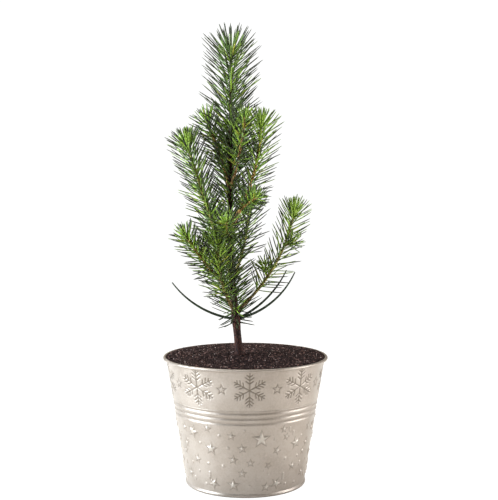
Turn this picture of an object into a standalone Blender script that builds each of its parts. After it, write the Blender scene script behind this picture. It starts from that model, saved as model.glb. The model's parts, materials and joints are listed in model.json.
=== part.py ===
"""A young Italian stone pine growing in an embossed metal pot.

Metres, +Z up. The origin is under the middle of the pot, on the surface that it stands on.
The front view looks along +Y with +X to the right. Azimuths are turned from +X towards +Y,
and a lean is an angle from upright.

The trunk runs whole from the soil to its tip. Thirteen boughs leave it in four whorls, each
goes on as a shoot that bristles with needles, and six sleeves of needles sit round the trunk.
"""
import math
import random
from collections import namedtuple

import bmesh
import bpy
from mathutils import Euler, Matrix, Vector

MM = 0.001
GAP = 0.3 * MM
SEED = 7

# Pot: a tapering wall with a rolled rim, three pressed grooves and a beaded foot
POT_HEIGHT = 129 * MM
RIM_RADIUS = 82.5 * MM
RIM_BEAD = 1.95 * MM
FOOT_BEAD = 1.9 * MM
FOOT_RADIUS = 60.4 * MM
WALL_FOOT = (59.6 * MM, 4.2 * MM)
WALL_HEAD = (79.3 * MM, 125.5 * MM)
WALL = 1.6 * MM
FLOOR = 2.0 * MM
GROOVE_HEIGHTS = (74.3 * MM, 79.5 * MM, 84.7 * MM)
GROOVE_HALF_WIDTH = 1.9 * MM
GROOVE_DEPTH = 0.8 * MM
POT_SIDES = 40

# Soil: fills the pot to just under its rim, and rises a little towards the trunk
SOIL_EDGE = 127.4 * MM
SOIL_TOP = 128.5 * MM
SOIL_FLAT_RADIUS = 16 * MM

# Trunk: leans to the left as it leaves the soil, then stands upright
TRUNK_X = -6 * MM
TRUNK_HEIGHT = 301 * MM
TRUNK_LEAN = 5.6
TRUNK_TOP_LEAN = -0.35
LEAN_ENDS = (60 * MM, 130 * MM)
TRUNK_FOOT_RADIUS = 3.9 * MM
TRUNK_TIP_RADIUS = 1.3 * MM
ROOT_FLARE = 1.4 * MM
FLARE_HEIGHT = 4 * MM
KNOT = 1.0 * MM
KNOT_HEIGHT = 37 * MM
KNOT_LENGTH = 8 * MM
TRUNK_SIDES = 8
TRUNK_STEPS = 26

# Shoots: each leaves the trunk at a height, bends evenly from one lean to another,
# is a bare bough for its first stretch, and carries needles from there to its tip
Shoot = namedtuple("Shoot", "root azimuth lean_root lean_tip length bare needle needles twigs")
SHOOTS = {
    "right_upper": Shoot(127 * MM, -20, 33, 2, 110 * MM, 26 * MM, 28 * MM, 66, 0),
    "left_outer": Shoot(78 * MM, 190, 20, 17, 140 * MM, 30 * MM, 29 * MM, 80, 0),
    "right_low": Shoot(43 * MM, 8, 51, 11, 117 * MM, 26 * MM, 27 * MM, 56, 2),
    "left_upper": Shoot(160 * MM, 160, 11, 27, 80 * MM, 24 * MM, 25 * MM, 42, 0),
    "right_inner": Shoot(166 * MM, -58, 31, 12, 76 * MM, 22 * MM, 25 * MM, 36, 0),
    "front_low": Shoot(42 * MM, 238, 44, -2, 85 * MM, 17 * MM, 28 * MM, 52, 0),
    "left_low": Shoot(62 * MM, 215, 50, 36, 82 * MM, 24 * MM, 23 * MM, 42, 0),
    "back_low": Shoot(46 * MM, 118, 50, 8, 104 * MM, 24 * MM, 28 * MM, 50, 1),
    "back_middle": Shoot(74 * MM, 62, 44, 6, 92 * MM, 24 * MM, 27 * MM, 40, 0),
    "back_upper": Shoot(124 * MM, 95, 38, 4, 96 * MM, 26 * MM, 28 * MM, 44, 0),
    "back_high": Shoot(168 * MM, 78, 34, 4, 66 * MM, 20 * MM, 25 * MM, 28, 0),
    "front_middle": Shoot(112 * MM, 262, 62, 54, 50 * MM, 14 * MM, 23 * MM, 26, 0),
    "right_short": Shoot(133 * MM, -52, 40, 70, 42 * MM, 15 * MM, 17 * MM, 20, 0),
}
BOUGH_LEAST_RADIUS = 1.3 * MM
BOUGH_RADIUS_PER_LENGTH = 0.0055
BOUGH_TIP_SHARE = 0.72
BOUGH_SIDES = 6
STEM_SIDES = 5
STEM_TIP_RADIUS = 1.2 * MM
STATION_SPACING = 14 * MM

# Sleeves of needles round the trunk: from one height on it to another. The last one is the
# leader, which closes over the trunk's tip
Sleeve = namedtuple("Sleeve", "start end needle needles spread")
SLEEVES = {
    "foot": Sleeve(32 * MM, 40 * MM, 13 * MM, 8, 112),
    "low": Sleeve(43 * MM, 83 * MM, 32 * MM, 26, 66),
    "middle": Sleeve(84 * MM, 127 * MM, 31 * MM, 28, 62),
    "upper": Sleeve(128 * MM, 173 * MM, 30 * MM, 26, 60),
    "crown": Sleeve(174 * MM, 233 * MM, 33 * MM, 50, 58),
    "leader": Sleeve(234 * MM, 303 * MM, 39 * MM, 108, 54),
}
SLEEVE_WALL = 0.9 * MM
SLEEVE_INSET = 2 * MM
SLEEVE_TOP_INSET = 4.5 * MM

# Needles: straight three-sided spikes. Each stands out from its stem, wider at the stem's root.
# A good part of them sit in the last stretch, and fold up and shorten there to a round brush
NEEDLE_RADIUS = 0.95 * MM
NEEDLE_SPREAD = 50
ROOT_SPREAD = 16
TIP_SPREAD = 6
TIP_STRETCH = 12 * MM
TIP_NEEDLES = 0.3
TIP_SHARE = 0.6
LEADER_TIP_SHARE = 0.77
SHORTER_SHARES = (1.0, 0.85, 0.7, 0.5)
SPARE_NEEDLES = 2.5
GOLDEN_TURN = 137.5

# Side twigs on a shoot, each with a small spray of its own
TWIG_LENGTH = 15 * MM
TWIG_RADIUS = 1.0 * MM
TWIG_SPREAD = 42
TWIG_NEEDLES = 8
TWIG_NEEDLE_SHARE = 0.6
TWIG_SIDES = 4

# Four long curved needles that hang out from the foot of the crown: azimuth, length, first and
# last lean
LONG_NEEDLES = ((186, 78 * MM, 84, 42), (-8, 79 * MM, 78, 12), (14, 72 * MM, 70, 12), (96, 70 * MM, 80, 24))
LONG_NEEDLE_RADIUS = 0.85 * MM
LONG_NEEDLE_STEPS = 6

Limb = namedtuple("Limb", "points radii")
Spike = namedtuple("Spike", "root tip root_radius tip_radius")
Branch = namedtuple("Branch", "line bough stem twigs")


def clear_scene():
    for thing in list(bpy.data.objects):
        bpy.data.objects.remove(thing, do_unlink=True)


def material(name, colour, roughness, metallic=0.0):
    made = bpy.data.materials.new(name)
    made.use_nodes = True
    shader = made.node_tree.nodes["Principled BSDF"]
    shader.inputs["Base Color"].default_value = (*colour, 1.0)
    shader.inputs["Roughness"].default_value = roughness
    shader.inputs["Metallic"].default_value = metallic
    made.diffuse_color = (*colour, 1.0)
    return made


def mesh_object(name, bm, finish=None):
    bmesh.ops.recalc_face_normals(bm, faces=bm.faces[:])
    mesh = bpy.data.meshes.new(name)
    bm.to_mesh(mesh)
    bm.free()
    thing = bpy.data.objects.new(name, mesh)
    bpy.context.scene.collection.objects.link(thing)
    if finish:
        mesh.materials.append(finish)
    return thing


# Lines in space

def direction(azimuth, lean):
    """The unit vector at an azimuth and a lean, both in degrees."""
    turn, tilt = math.radians(azimuth), math.radians(lean)
    return Vector((math.sin(tilt) * math.cos(turn), math.sin(tilt) * math.sin(turn), math.cos(tilt)))


def ease(value):
    value = min(max(value, 0.0), 1.0)
    return value * value * (3 - 2 * value)


def walk(start, azimuth, lean_at, length, steps):
    """Points along a line that starts somewhere and leans by lean_at(share of the way)."""
    points = [start.copy()]
    for step in range(steps):
        heading = direction(azimuth, lean_at((step + 0.5) / steps))
        points.append(points[-1] + heading * (length / steps))
    return points


def along(points, distance):
    """The point at a distance along a line of points, and the heading there."""
    for start, end in zip(points, points[1:]):
        span = (end - start).length
        if distance <= span or end is points[-1]:
            heading = (end - start).normalized()
            return start + heading * distance, heading
        distance -= span


def stretch(points, start, end, spacing):
    """Points spaced evenly along part of a line."""
    steps = max(2, round((end - start) / spacing))
    return [along(points, start + (end - start) * step / steps)[0] for step in range(steps + 1)]


def segment_distance(a0, a1, b0, b1):
    """The least distance between two segments, and how far along each it lies."""
    u, v, w = a1 - a0, b1 - b0, a0 - b0
    uu, uv, vv, uw, vw = u.dot(u), u.dot(v), v.dot(v), u.dot(w), v.dot(w)
    skew = uu * vv - uv * uv
    s = min(max((uv * vw - vv * uw) / skew, 0.0), 1.0) if skew > 1e-18 else 0.0
    t = min(max((uv * s + vw) / vv, 0.0), 1.0)
    s = min(max((uv * t - uw) / uu, 0.0), 1.0)
    return (w + u * s - v * t).length, s, t


# The trunk's and the shoots' lines

def trunk_line():
    lower, upper = LEAN_ENDS
    start = Vector((TRUNK_X, 0, SOIL_TOP + GAP))

    def lean_at(share):
        fade = ease((share * TRUNK_HEIGHT - lower) / (upper - lower))
        return TRUNK_LEAN * (1 - fade) + TRUNK_TOP_LEAN * fade

    return walk(start, 180, lean_at, TRUNK_HEIGHT, TRUNK_STEPS)


def trunk_radius(height):
    share = min(height / TRUNK_HEIGHT, 1.0)
    plain = TRUNK_FOOT_RADIUS + (TRUNK_TIP_RADIUS - TRUNK_FOOT_RADIUS) * share
    flare = ROOT_FLARE * math.exp(-max(height, 0) / FLARE_HEIGHT)
    knot = KNOT * math.exp(-(((height - KNOT_HEIGHT) / KNOT_LENGTH) ** 2))
    return plain + flare + knot


def shoot_line(trunk, shoot):
    start = along(trunk, shoot.root)[0]
    bend = shoot.lean_tip - shoot.lean_root
    return walk(start, shoot.azimuth, lambda share: shoot.lean_root + bend * share, shoot.length, 24)


def shoot_radius(shoot, distance):
    root = BOUGH_LEAST_RADIUS + shoot.length * BOUGH_RADIUS_PER_LENGTH
    if distance < shoot.bare:
        return root * (1 + (BOUGH_TIP_SHARE - 1) * distance / shoot.bare)
    share = (distance - shoot.bare) / (shoot.length - shoot.bare)
    bough_tip = root * BOUGH_TIP_SHARE
    return max(bough_tip + (STEM_TIP_RADIUS - bough_tip) * share, STEM_TIP_RADIUS)


# Solids

def ring_frames(points, level):
    """A matrix for a ring at each point, square to the line or, for the trunk, level."""
    frames = []
    for index, point in enumerate(points):
        before = points[max(index - 1, 0)]
        after = points[min(index + 1, len(points) - 1)]
        heading = Vector((0, 0, 1)) if level else (after - before).normalized()
        frames.append(Matrix.Translation(point) @ heading.to_track_quat("Z", "Y").to_matrix().to_4x4())
    return frames


def limb_object(name, limb, sides, finish=None, level=False):
    """A closed tapering limb: a ring at each point, bridged to the next, with flat ends."""
    bm = bmesh.new()
    loops = []
    for frame, radius in zip(ring_frames(limb.points, level), limb.radii):
        ring = bmesh.ops.create_circle(bm, segments=sides, radius=radius, matrix=frame)
        loops.append({edge for vert in ring["verts"] for edge in vert.link_edges})
    for lower, upper in zip(loops, loops[1:]):
        bmesh.ops.bridge_loops(bm, edges=list(lower | upper))
    for end in (loops[0], loops[-1]):
        bmesh.ops.edgeloop_fill(bm, edges=list(end))
    return mesh_object(name, bm, finish)


def revolved(name, profile, sides, finish):
    """A solid turned round the Z axis from a profile of (radius, height)."""
    bm = bmesh.new()
    verts = [bm.verts.new((radius, 0, height)) for radius, height in profile]
    edges = [bm.edges.new(pair) for pair in zip(verts, verts[1:])]
    bmesh.ops.spin(bm, geom=verts + edges, cent=(0, 0, 0), axis=(0, 0, 1),
                   angle=math.tau, steps=sides, use_merge=True)
    bmesh.ops.remove_doubles(bm, verts=bm.verts[:], dist=0.01 * MM)
    return mesh_object(name, bm, finish)


def arc(centre, radius, angles):
    return [(centre[0] + radius * math.cos(math.radians(angle)),
             centre[1] + radius * math.sin(math.radians(angle))) for angle in angles]


def wall_radius(height):
    """The outer radius of the pot's plain wall at a height."""
    (foot, low), (head, high) = WALL_FOOT, WALL_HEAD
    return foot + (head - foot) * (height - low) / (high - low)


def build_pot(finish):
    rim_centre = (RIM_RADIUS - RIM_BEAD, POT_HEIGHT - RIM_BEAD)
    foot_centre = (FOOT_RADIUS - FOOT_BEAD, FOOT_BEAD)
    profile = [(0, 0)] + arc(foot_centre, FOOT_BEAD, (-90, -45, 0, 50)) + [WALL_FOOT]
    for height in GROOVE_HEIGHTS:
        for step, depth in ((-1, 0), (0, GROOVE_DEPTH), (1, 0)):
            place = height + step * GROOVE_HALF_WIDTH
            profile.append((wall_radius(place) - depth, place))
    profile += [WALL_HEAD] + arc(rim_centre, RIM_BEAD, (-90, -45, 0, 45, 90, 180))
    profile += [(WALL_HEAD[0] - WALL, WALL_HEAD[1] - WALL)]
    profile += [(wall_radius(FLOOR) - WALL, FLOOR), (0, FLOOR)]
    return revolved("pot", profile, POT_SIDES, finish)


def build_soil(finish):
    def inside(height):
        return wall_radius(height) - WALL - GAP

    bottom = FLOOR + GAP
    edge = inside(SOIL_EDGE)
    profile = [(0, bottom), (inside(bottom), bottom), (edge, SOIL_EDGE)]
    for share in (0.7, 0.35, 0.0):
        radius = SOIL_FLAT_RADIUS + (edge - SOIL_FLAT_RADIUS) * share
        profile.append((radius, SOIL_EDGE + (SOIL_TOP - SOIL_EDGE) * (1 - share ** 1.6)))
    profile.append((0, SOIL_TOP))
    return revolved("soil", profile, POT_SIDES, finish)


def build_trunk(name, trunk, finish, extra=0.0):
    """The trunk, or with extra radius the shape that keeps its neighbours clear of it."""
    heights = [TRUNK_HEIGHT * step / TRUNK_STEPS for step in range(TRUNK_STEPS + 1)]
    points = [point.copy() for point in trunk]
    if extra:
        points[0].z -= extra
        points[-1].z += extra
    radii = [trunk_radius(height) + extra for height in heights]
    return limb_object(name, Limb(points, radii), TRUNK_SIDES, finish, level=True)


# Needles

def place_on_stem(share, start, end, has_tip):
    """How far along a stretch of stem a needle sits, and how far it is folded up."""
    if not has_tip:
        return start + (end - start) * share, 0.0
    lower = 1 - TIP_NEEDLES
    if share < lower:
        return start + (end - TIP_STRETCH - start) * share / lower, 0.0
    folded = (share - lower) / TIP_NEEDLES
    return end - TIP_STRETCH * (1 - folded), folded


def needle_spikes(points, start, end, count, length, spread, rng, tip_share=1.0, root_spread=0,
                  radius=NEEDLE_RADIUS):
    """Needles round a stretch of stem, a golden turn apart.

    tip_share is the length of the last needles, as a share of the others. A stretch with no
    tip of its own has 1 there, and its needles don't fold up. root_spread makes the needles at
    the root stand wider.
    """
    spikes = []
    has_tip = tip_share < 1.0
    for index in range(count):
        share = (index + 0.5) / count
        distance, folded = place_on_stem(share, start, end, has_tip)
        root, heading = along(points, distance)
        tilt = spread + root_spread * (1 - ease(share / 0.5))
        tilt += (TIP_SPREAD - tilt) * folded + rng.uniform(-7, 7)
        turn = index * GOLDEN_TURN + rng.uniform(-16, 16)
        way = heading.to_track_quat("Z", "Y").to_matrix() @ direction(turn, tilt)
        reach = length * rng.uniform(0.86, 1.04) * (1 + (tip_share - 1) * folded)
        spikes.append(Spike(root, root + way * reach, radius, 0.0))
    return spikes


def limb_spikes(limb):
    """A limb as straight tapering lengths, to measure clearances from."""
    ends = list(zip(limb.points, limb.radii))
    return [Spike(start, end, first, last) for (start, first), (end, last) in zip(ends, ends[1:])]


def clear_of(spike, others):
    """Whether a needle keeps its gap from every other limb and needle."""
    reach = (spike.tip - spike.root).length
    for other in others:
        if (spike.root - other.root).length > reach + (other.tip - other.root).length + 3 * MM:
            continue
        distance, mine, its = segment_distance(spike.root, spike.tip, other.root, other.tip)
        thickness = spike.root_radius + (spike.tip_radius - spike.root_radius) * mine
        thickness += other.root_radius + (other.tip_radius - other.root_radius) * its
        if distance < thickness + GAP:
            return False
    return True


def fitted(spikes, others):
    """The needles that stay clear of the others, shortened where that is enough."""
    kept = []
    for spike in spikes:
        for share in SHORTER_SHARES:
            trial = spike._replace(tip=spike.root.lerp(spike.tip, share))
            if clear_of(trial, others):
                kept.append(trial)
                break
    return kept


def spike_mesh():
    """A needle of unit radius and length, to be scaled: three sides and a point."""
    bm = bmesh.new()
    bmesh.ops.create_cone(bm, cap_ends=True, segments=3, radius1=1.0, radius2=0.0,
                          depth=1.0, matrix=Matrix.Translation((0, 0, 0.5)))
    mesh = bpy.data.meshes.new("spike")
    bm.to_mesh(mesh)
    bm.free()
    return mesh


def spike_object(mesh, spike, roll):
    thing = bpy.data.objects.new("spike", mesh)
    way = spike.tip - spike.root
    turn = way.to_track_quat("Z", "Y") @ Euler((0, 0, roll)).to_quaternion()
    scale = Vector((spike.root_radius, spike.root_radius, way.length))
    thing.matrix_world = Matrix.LocRotScale(spike.root, turn, scale)
    return thing


def keep_largest_piece(bm):
    """Drop every loose scrap, which is any island of faces but the largest."""
    islands, seen = [], set()
    for seed in bm.faces:
        if seed in seen:
            continue
        island, edge_of_it = {seed}, [seed]
        while edge_of_it:
            face = edge_of_it.pop()
            near = {other for edge in face.edges for other in edge.link_faces} - island
            island |= near
            edge_of_it.extend(near)
        seen |= island
        islands.append(island)
    islands.sort(key=len)
    scraps = [face for island in islands[:-1] for face in island]
    bmesh.ops.delete(bm, geom=scraps, context="FACES")


def add_boolean(core, operation, operands):
    """A Boolean modifier on the core whose operands are a new collection of objects."""
    group = bpy.data.collections.new(f"{core.name} {operation}")
    bpy.context.scene.collection.children.link(group)
    for thing in operands:
        group.objects.link(thing)
    modifier = core.modifiers.new(operation, "BOOLEAN")
    modifier.operation = operation
    modifier.operand_type = "COLLECTION"
    modifier.collection = group
    return group


def fuse(core, pieces, finish, cutters):
    """Join the pieces to the core by one Boolean union, cut it clear of the cutters, apply."""
    groups = []
    if pieces:
        groups.append(add_boolean(core, "UNION", pieces))
    if cutters:
        groups.append(add_boolean(core, "DIFFERENCE", cutters))
    bpy.context.view_layer.update()
    joined = bpy.data.meshes.new_from_object(core.evaluated_get(bpy.context.evaluated_depsgraph_get()))
    core.modifiers.clear()
    core.data = joined
    for piece in pieces:
        bpy.data.objects.remove(piece, do_unlink=True)
    for group in groups:
        bpy.data.collections.remove(group)
    bm = bmesh.new()
    bm.from_mesh(joined)
    keep_largest_piece(bm)
    bmesh.ops.triangulate(bm, faces=bm.faces[:])
    bm.to_mesh(joined)
    bm.free()
    joined.materials.clear()
    joined.materials.append(finish)


def tapered(points, start, end, radius_at):
    """Part of a line as a limb, with stations evenly spaced along it."""
    stations = stretch(points, start, end, STATION_SPACING)
    step = (end - start) / (len(stations) - 1)
    return Limb(stations, [radius_at(start + step * index) for index in range(len(stations))])


def twig_limbs(points, shoot, rng):
    """Side twigs that leave a shoot's stem a golden turn apart."""
    limbs = []
    for index in range(shoot.twigs):
        share = (index + 0.6) / (shoot.twigs + 0.6)
        root, heading = along(points, shoot.bare + (shoot.length - shoot.bare) * share)
        frame = heading.to_track_quat("Z", "Y").to_matrix()
        way = frame @ direction(90 + index * GOLDEN_TURN + rng.uniform(-10, 10), TWIG_SPREAD)
        limbs.append(Limb([root, root + way * TWIG_LENGTH], [TWIG_RADIUS, TWIG_RADIUS * 0.8]))
    return limbs


def grow_branch(trunk, name, shoot):
    """A shoot's line, its bare bough, the stem that carries its needles, and its twigs."""
    line = shoot_line(trunk, shoot)
    bough = tapered(line, 0, shoot.bare, lambda distance: shoot_radius(shoot, distance))
    stem = tapered(line, shoot.bare + GAP, shoot.length, lambda distance: shoot_radius(shoot, distance))
    return Branch(line, bough, stem, twig_limbs(line, shoot, random.Random(f"{SEED} twigs {name}")))


def long_needle_limbs(trunk, sleeve):
    """The long curved needles at the foot of the crown, each one bending up to its tip."""
    limbs = []
    root = along(trunk, (sleeve.start + sleeve.end) / 2)[0]
    for azimuth, length, first_lean, last_lean in LONG_NEEDLES:
        bend = last_lean - first_lean
        points = walk(root, azimuth, lambda share: first_lean + bend * share, length, LONG_NEEDLE_STEPS)
        radii = [LONG_NEEDLE_RADIUS * (1 - 0.5 * step / LONG_NEEDLE_STEPS) for step in range(len(points))]
        limbs.append(Limb(points, radii))
    return limbs


def branch_spikes(branch, shoot, rng):
    """All the needles that a shoot would like to carry."""
    spikes = needle_spikes(branch.line, shoot.bare + 3 * MM, shoot.length - 0.5 * MM, shoot.needles,
                           shoot.needle, NEEDLE_SPREAD, rng, TIP_SHARE, ROOT_SPREAD)
    for twig in branch.twigs:
        spikes += needle_spikes(twig.points, 5 * MM, TWIG_LENGTH - 0.5 * MM, TWIG_NEEDLES,
                                shoot.needle * TWIG_NEEDLE_SHARE, NEEDLE_SPREAD, rng, TIP_SHARE,
                                ROOT_SPREAD, NEEDLE_RADIUS * TWIG_NEEDLE_SHARE)
    return spikes


def sleeve_spikes(line, name, sleeve, rng):
    """All the needles that a sleeve would like to carry, with spare ones where it is crowded."""
    low, high = sleeve.start + SLEEVE_INSET, sleeve.end - SLEEVE_TOP_INSET
    if name == "leader":
        return needle_spikes(line, low, sleeve.end - 1 * MM, sleeve.needles, sleeve.needle,
                             sleeve.spread, rng, LEADER_TIP_SHARE)
    count = round(sleeve.needles * SPARE_NEEDLES)
    spikes = needle_spikes(line, low, high, count, sleeve.needle, sleeve.spread, rng)
    rng.shuffle(spikes)
    return spikes


def mass_object(name, core, kept, extras, finish, cutters):
    """A core with its needles and other limbs fused on."""
    mesh = spike_mesh()
    rng = random.Random(f"{SEED} roll {name}")
    pieces = [spike_object(mesh, needle, rng.uniform(0, math.tau)) for needle in kept]
    core.name = name
    fuse(core, pieces + extras, finish, cutters)
    print(f"{name}: {len(kept)} needles, {len(core.data.polygons)} triangles")


def build_sleeve(name, trunk, taken, foot_needles, cutters, finish):
    """A sleeve round the trunk: a thin core with needles, cut clear of the trunk and boughs."""
    sleeve = SLEEVES[name]
    rng = random.Random(f"{SEED} sleeve {name}")
    line = trunk + [trunk[-1] + Vector((0, 0, 6 * MM))]
    core = tapered(line, sleeve.start, sleeve.end, lambda height: trunk_radius(height) + GAP + SLEEVE_WALL)
    rivals = [piece for owner, pieces in taken.items() if owner not in ("trunk", name) for piece in pieces]
    kept = fitted(sleeve_spikes(line, name, sleeve, rng), rivals)[:sleeve.needles]
    taken[name] = taken.get(name, []) + kept
    extras = [limb_object("long", limb, 3) for limb in foot_needles] if name == "foot" else []
    solid = limb_object("core", core, TRUNK_SIDES, level=True)
    mass_object("needles_" + name, solid, kept, extras, finish, cutters)


def build_shoot(name, branch, taken, finish):
    """A shoot: the stem that goes on from its bough's tip, its twigs and its needles."""
    rng = random.Random(f"{SEED} needles {name}")
    rivals = [piece for owner, pieces in taken.items() if owner != name for piece in pieces]
    kept = fitted(branch_spikes(branch, SHOOTS[name], rng), rivals)
    taken[name] += kept
    extras = [limb_object("twig", twig, TWIG_SIDES) for twig in branch.twigs]
    solid = limb_object("core", branch.stem, STEM_SIDES)
    mass_object("needles_" + name, solid, kept, extras, finish, [])


def main():
    clear_scene()
    trunk_bark = material("trunk_bark", (0.16, 0.085, 0.055), 0.8)
    bough_bark = material("bough_bark", (0.27, 0.17, 0.07), 0.75)
    shoot_green = material("shoot_needles", (0.13, 0.26, 0.06), 0.6)
    trunk_green = material("trunk_needles", (0.06, 0.14, 0.045), 0.6)
    build_pot(material("pearl_paint", (0.80, 0.76, 0.67), 0.35, 0.25))
    build_soil(material("potting_soil", (0.055, 0.035, 0.03), 0.95))

    trunk = trunk_line()
    build_trunk("trunk", trunk, trunk_bark)
    clearances = [build_trunk("trunk_clearance", trunk, None, GAP)]
    around_trunk = tapered(trunk, 0, TRUNK_HEIGHT, lambda height: trunk_radius(height) + SLEEVE_WALL + GAP)
    taken = {"trunk": limb_spikes(around_trunk)}

    branches = {name: grow_branch(trunk, name, shoot) for name, shoot in SHOOTS.items()}
    for name, branch in branches.items():
        solid = limb_object("bough_" + name, branch.bough, BOUGH_SIDES)
        fuse(solid, [], bough_bark, clearances[:1])
        wider = Limb(branch.bough.points, [radius + GAP for radius in branch.bough.radii])
        clearances.append(limb_object("clearance_" + name, wider, BOUGH_SIDES))
        taken["bough_" + name] = limb_spikes(branch.bough)
        taken[name] = [spike for limb in [branch.stem, *branch.twigs] for spike in limb_spikes(limb)]
    foot_needles = long_needle_limbs(trunk, SLEEVES["foot"])
    taken["foot"] = [spike for limb in foot_needles for spike in limb_spikes(limb)]

    build_sleeve("leader", trunk, taken, [], clearances, trunk_green)
    for name, branch in branches.items():
        build_shoot(name, branch, taken, shoot_green)
    for name in [name for name in SLEEVES if name != "leader"]:
        build_sleeve(name, trunk, taken, foot_needles, clearances, trunk_green)
    for clearance in clearances:
        bpy.data.objects.remove(clearance, do_unlink=True)


main()
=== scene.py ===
# %% [markdown]
# # A young Italian stone pine in an embossed pot
# The real thing is a seedling pine, about 33 cm tall, in a painted metal pot that is 16.5 cm
# across its rim. The solids of the part are already made and packed. This script dresses
# them: it repeats their measures, grows the same limbs again with finer detail, and gives
# every surface its finish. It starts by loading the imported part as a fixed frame.
# %% The frame and the tools
import json
import math
import random
from collections import namedtuple

import bmesh
import bpy
import numpy as np
from mathutils import Matrix, Vector, noise

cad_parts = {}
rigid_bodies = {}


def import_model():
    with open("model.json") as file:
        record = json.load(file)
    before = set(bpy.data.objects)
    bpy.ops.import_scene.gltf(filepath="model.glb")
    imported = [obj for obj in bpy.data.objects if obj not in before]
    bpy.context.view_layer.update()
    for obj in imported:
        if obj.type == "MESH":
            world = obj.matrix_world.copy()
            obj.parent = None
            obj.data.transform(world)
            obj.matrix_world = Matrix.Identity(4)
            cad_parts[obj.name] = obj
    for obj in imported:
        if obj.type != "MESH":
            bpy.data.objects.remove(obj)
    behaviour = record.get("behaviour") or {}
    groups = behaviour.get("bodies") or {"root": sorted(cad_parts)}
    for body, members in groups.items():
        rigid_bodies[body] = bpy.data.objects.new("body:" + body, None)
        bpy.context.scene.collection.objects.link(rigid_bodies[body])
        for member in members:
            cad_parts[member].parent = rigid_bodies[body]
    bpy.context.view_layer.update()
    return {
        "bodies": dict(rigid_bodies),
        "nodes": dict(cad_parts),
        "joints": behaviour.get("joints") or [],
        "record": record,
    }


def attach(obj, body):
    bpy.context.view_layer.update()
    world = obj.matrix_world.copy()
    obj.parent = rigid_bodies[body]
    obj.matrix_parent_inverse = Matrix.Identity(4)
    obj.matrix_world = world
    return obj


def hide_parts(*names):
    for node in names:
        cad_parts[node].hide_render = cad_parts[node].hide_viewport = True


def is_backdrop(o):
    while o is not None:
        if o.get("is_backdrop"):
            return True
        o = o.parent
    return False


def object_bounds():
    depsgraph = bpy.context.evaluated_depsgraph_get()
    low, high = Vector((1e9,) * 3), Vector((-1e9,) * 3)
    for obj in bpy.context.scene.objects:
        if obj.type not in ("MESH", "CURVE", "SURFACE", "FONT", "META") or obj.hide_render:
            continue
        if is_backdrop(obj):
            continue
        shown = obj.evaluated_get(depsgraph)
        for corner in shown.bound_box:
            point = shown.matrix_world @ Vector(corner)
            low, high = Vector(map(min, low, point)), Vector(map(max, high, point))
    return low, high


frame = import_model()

MM = 0.001
SEED = 7


def in_mm(place):
    return [round(value / MM, 1) for value in place]


# %% [markdown]
# ## The camera
# The camera's place was worked out from the pot: the rim's ellipse gives the distance and the
# height, and the pot's known width gives the scale. It looks along +Y and slightly down, with
# a long lens, as product photographs are taken.
# %% Camera
CAMERA_PLACE = (3.6 * MM, -1028.1 * MM, 302.1 * MM)
CAMERA_DOWN = 3.79
CAMERA_LENS = 74.3


def new_object(name, data):
    """An object in the scene that holds some data."""
    holder = bpy.data.objects.new(name, data)
    bpy.context.scene.collection.objects.link(holder)
    return holder


camera_data = bpy.data.cameras.new("camera")
camera_data.lens = CAMERA_LENS
camera_data.sensor_width = 36
camera_data.clip_start = 0.01
camera = new_object("camera", camera_data)
camera.location = CAMERA_PLACE
camera.rotation_euler = (math.radians(90 - CAMERA_DOWN), 0, 0)
bpy.context.scene.camera = camera
bpy.context.scene.view_settings.view_transform = "Standard"
print("camera looks down by", CAMERA_DOWN, "degrees through a", CAMERA_LENS, "mm lens")

# %% [markdown]
# ## Wiring nodes
# Materials are made of many small nodes. One helper places a node, sets its plain values and
# joins its inputs, so that each finish below reads as a list of what it is made of.
# %% Node helper
def place_node(tree, kind, inputs=None, **settings):
    """Add a node. An input that is a socket is linked, and any other value is set."""
    node = tree.nodes.new(kind)
    for key, value in settings.items():
        setattr(node, key, value)
    for key, value in (inputs or {}).items():
        if isinstance(value, bpy.types.NodeSocket):
            tree.links.new(value, node.inputs[key])
        else:
            node.inputs[key].default_value = value
    return node


def ramp(tree, value, low, high, first=0.0, last=1.0):
    """Map a value from one range to another, smoothly."""
    ends = {"Value": value, "From Min": low, "From Max": high, "To Min": first, "To Max": last}
    node = place_node(tree, "ShaderNodeMapRange", ends, interpolation_type="SMOOTHSTEP")
    return node.outputs["Result"]


def maths(tree, operation, first, second):
    return place_node(tree, "ShaderNodeMath", {0: first, 1: second}, operation=operation).outputs[0]


def blend_colours(tree, share, first, second):
    """Mix two colours. Each may be a socket or a plain colour."""
    node = place_node(tree, "ShaderNodeMix", data_type="RGBA")
    for index, value in ((0, share), (6, first), (7, second)):
        if isinstance(value, bpy.types.NodeSocket):
            tree.links.new(value, node.inputs[index])
        else:
            node.inputs[index].default_value = value
    return node.outputs[2]


# %% [markdown]
# ## Mottle, an effect that every finish shares
# Nothing on a plant or a painted pot has one even colour. Mottle is a node group that puts a
# coarse and a fine noise together and blends two colours by them. The noise reads Object
# coordinates, so it stays on the piece from every side. Mask drives roughness, and Grain bump.
# %% Mottle group
def shader_group(name, inputs, outputs):
    group = bpy.data.node_groups.new(name, "ShaderNodeTree")
    for title, kind, value in inputs:
        socket = group.interface.new_socket(title, in_out="INPUT", socket_type=kind)
        if value is not None:
            socket.default_value = value
    for title, kind in outputs:
        group.interface.new_socket(title, in_out="OUTPUT", socket_type=kind)
    return group, group.nodes.new("NodeGroupInput").outputs, group.nodes.new("NodeGroupOutput").inputs


COLOUR, FLOAT, VECTOR = "NodeSocketColor", "NodeSocketFloat", "NodeSocketVector"

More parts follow.
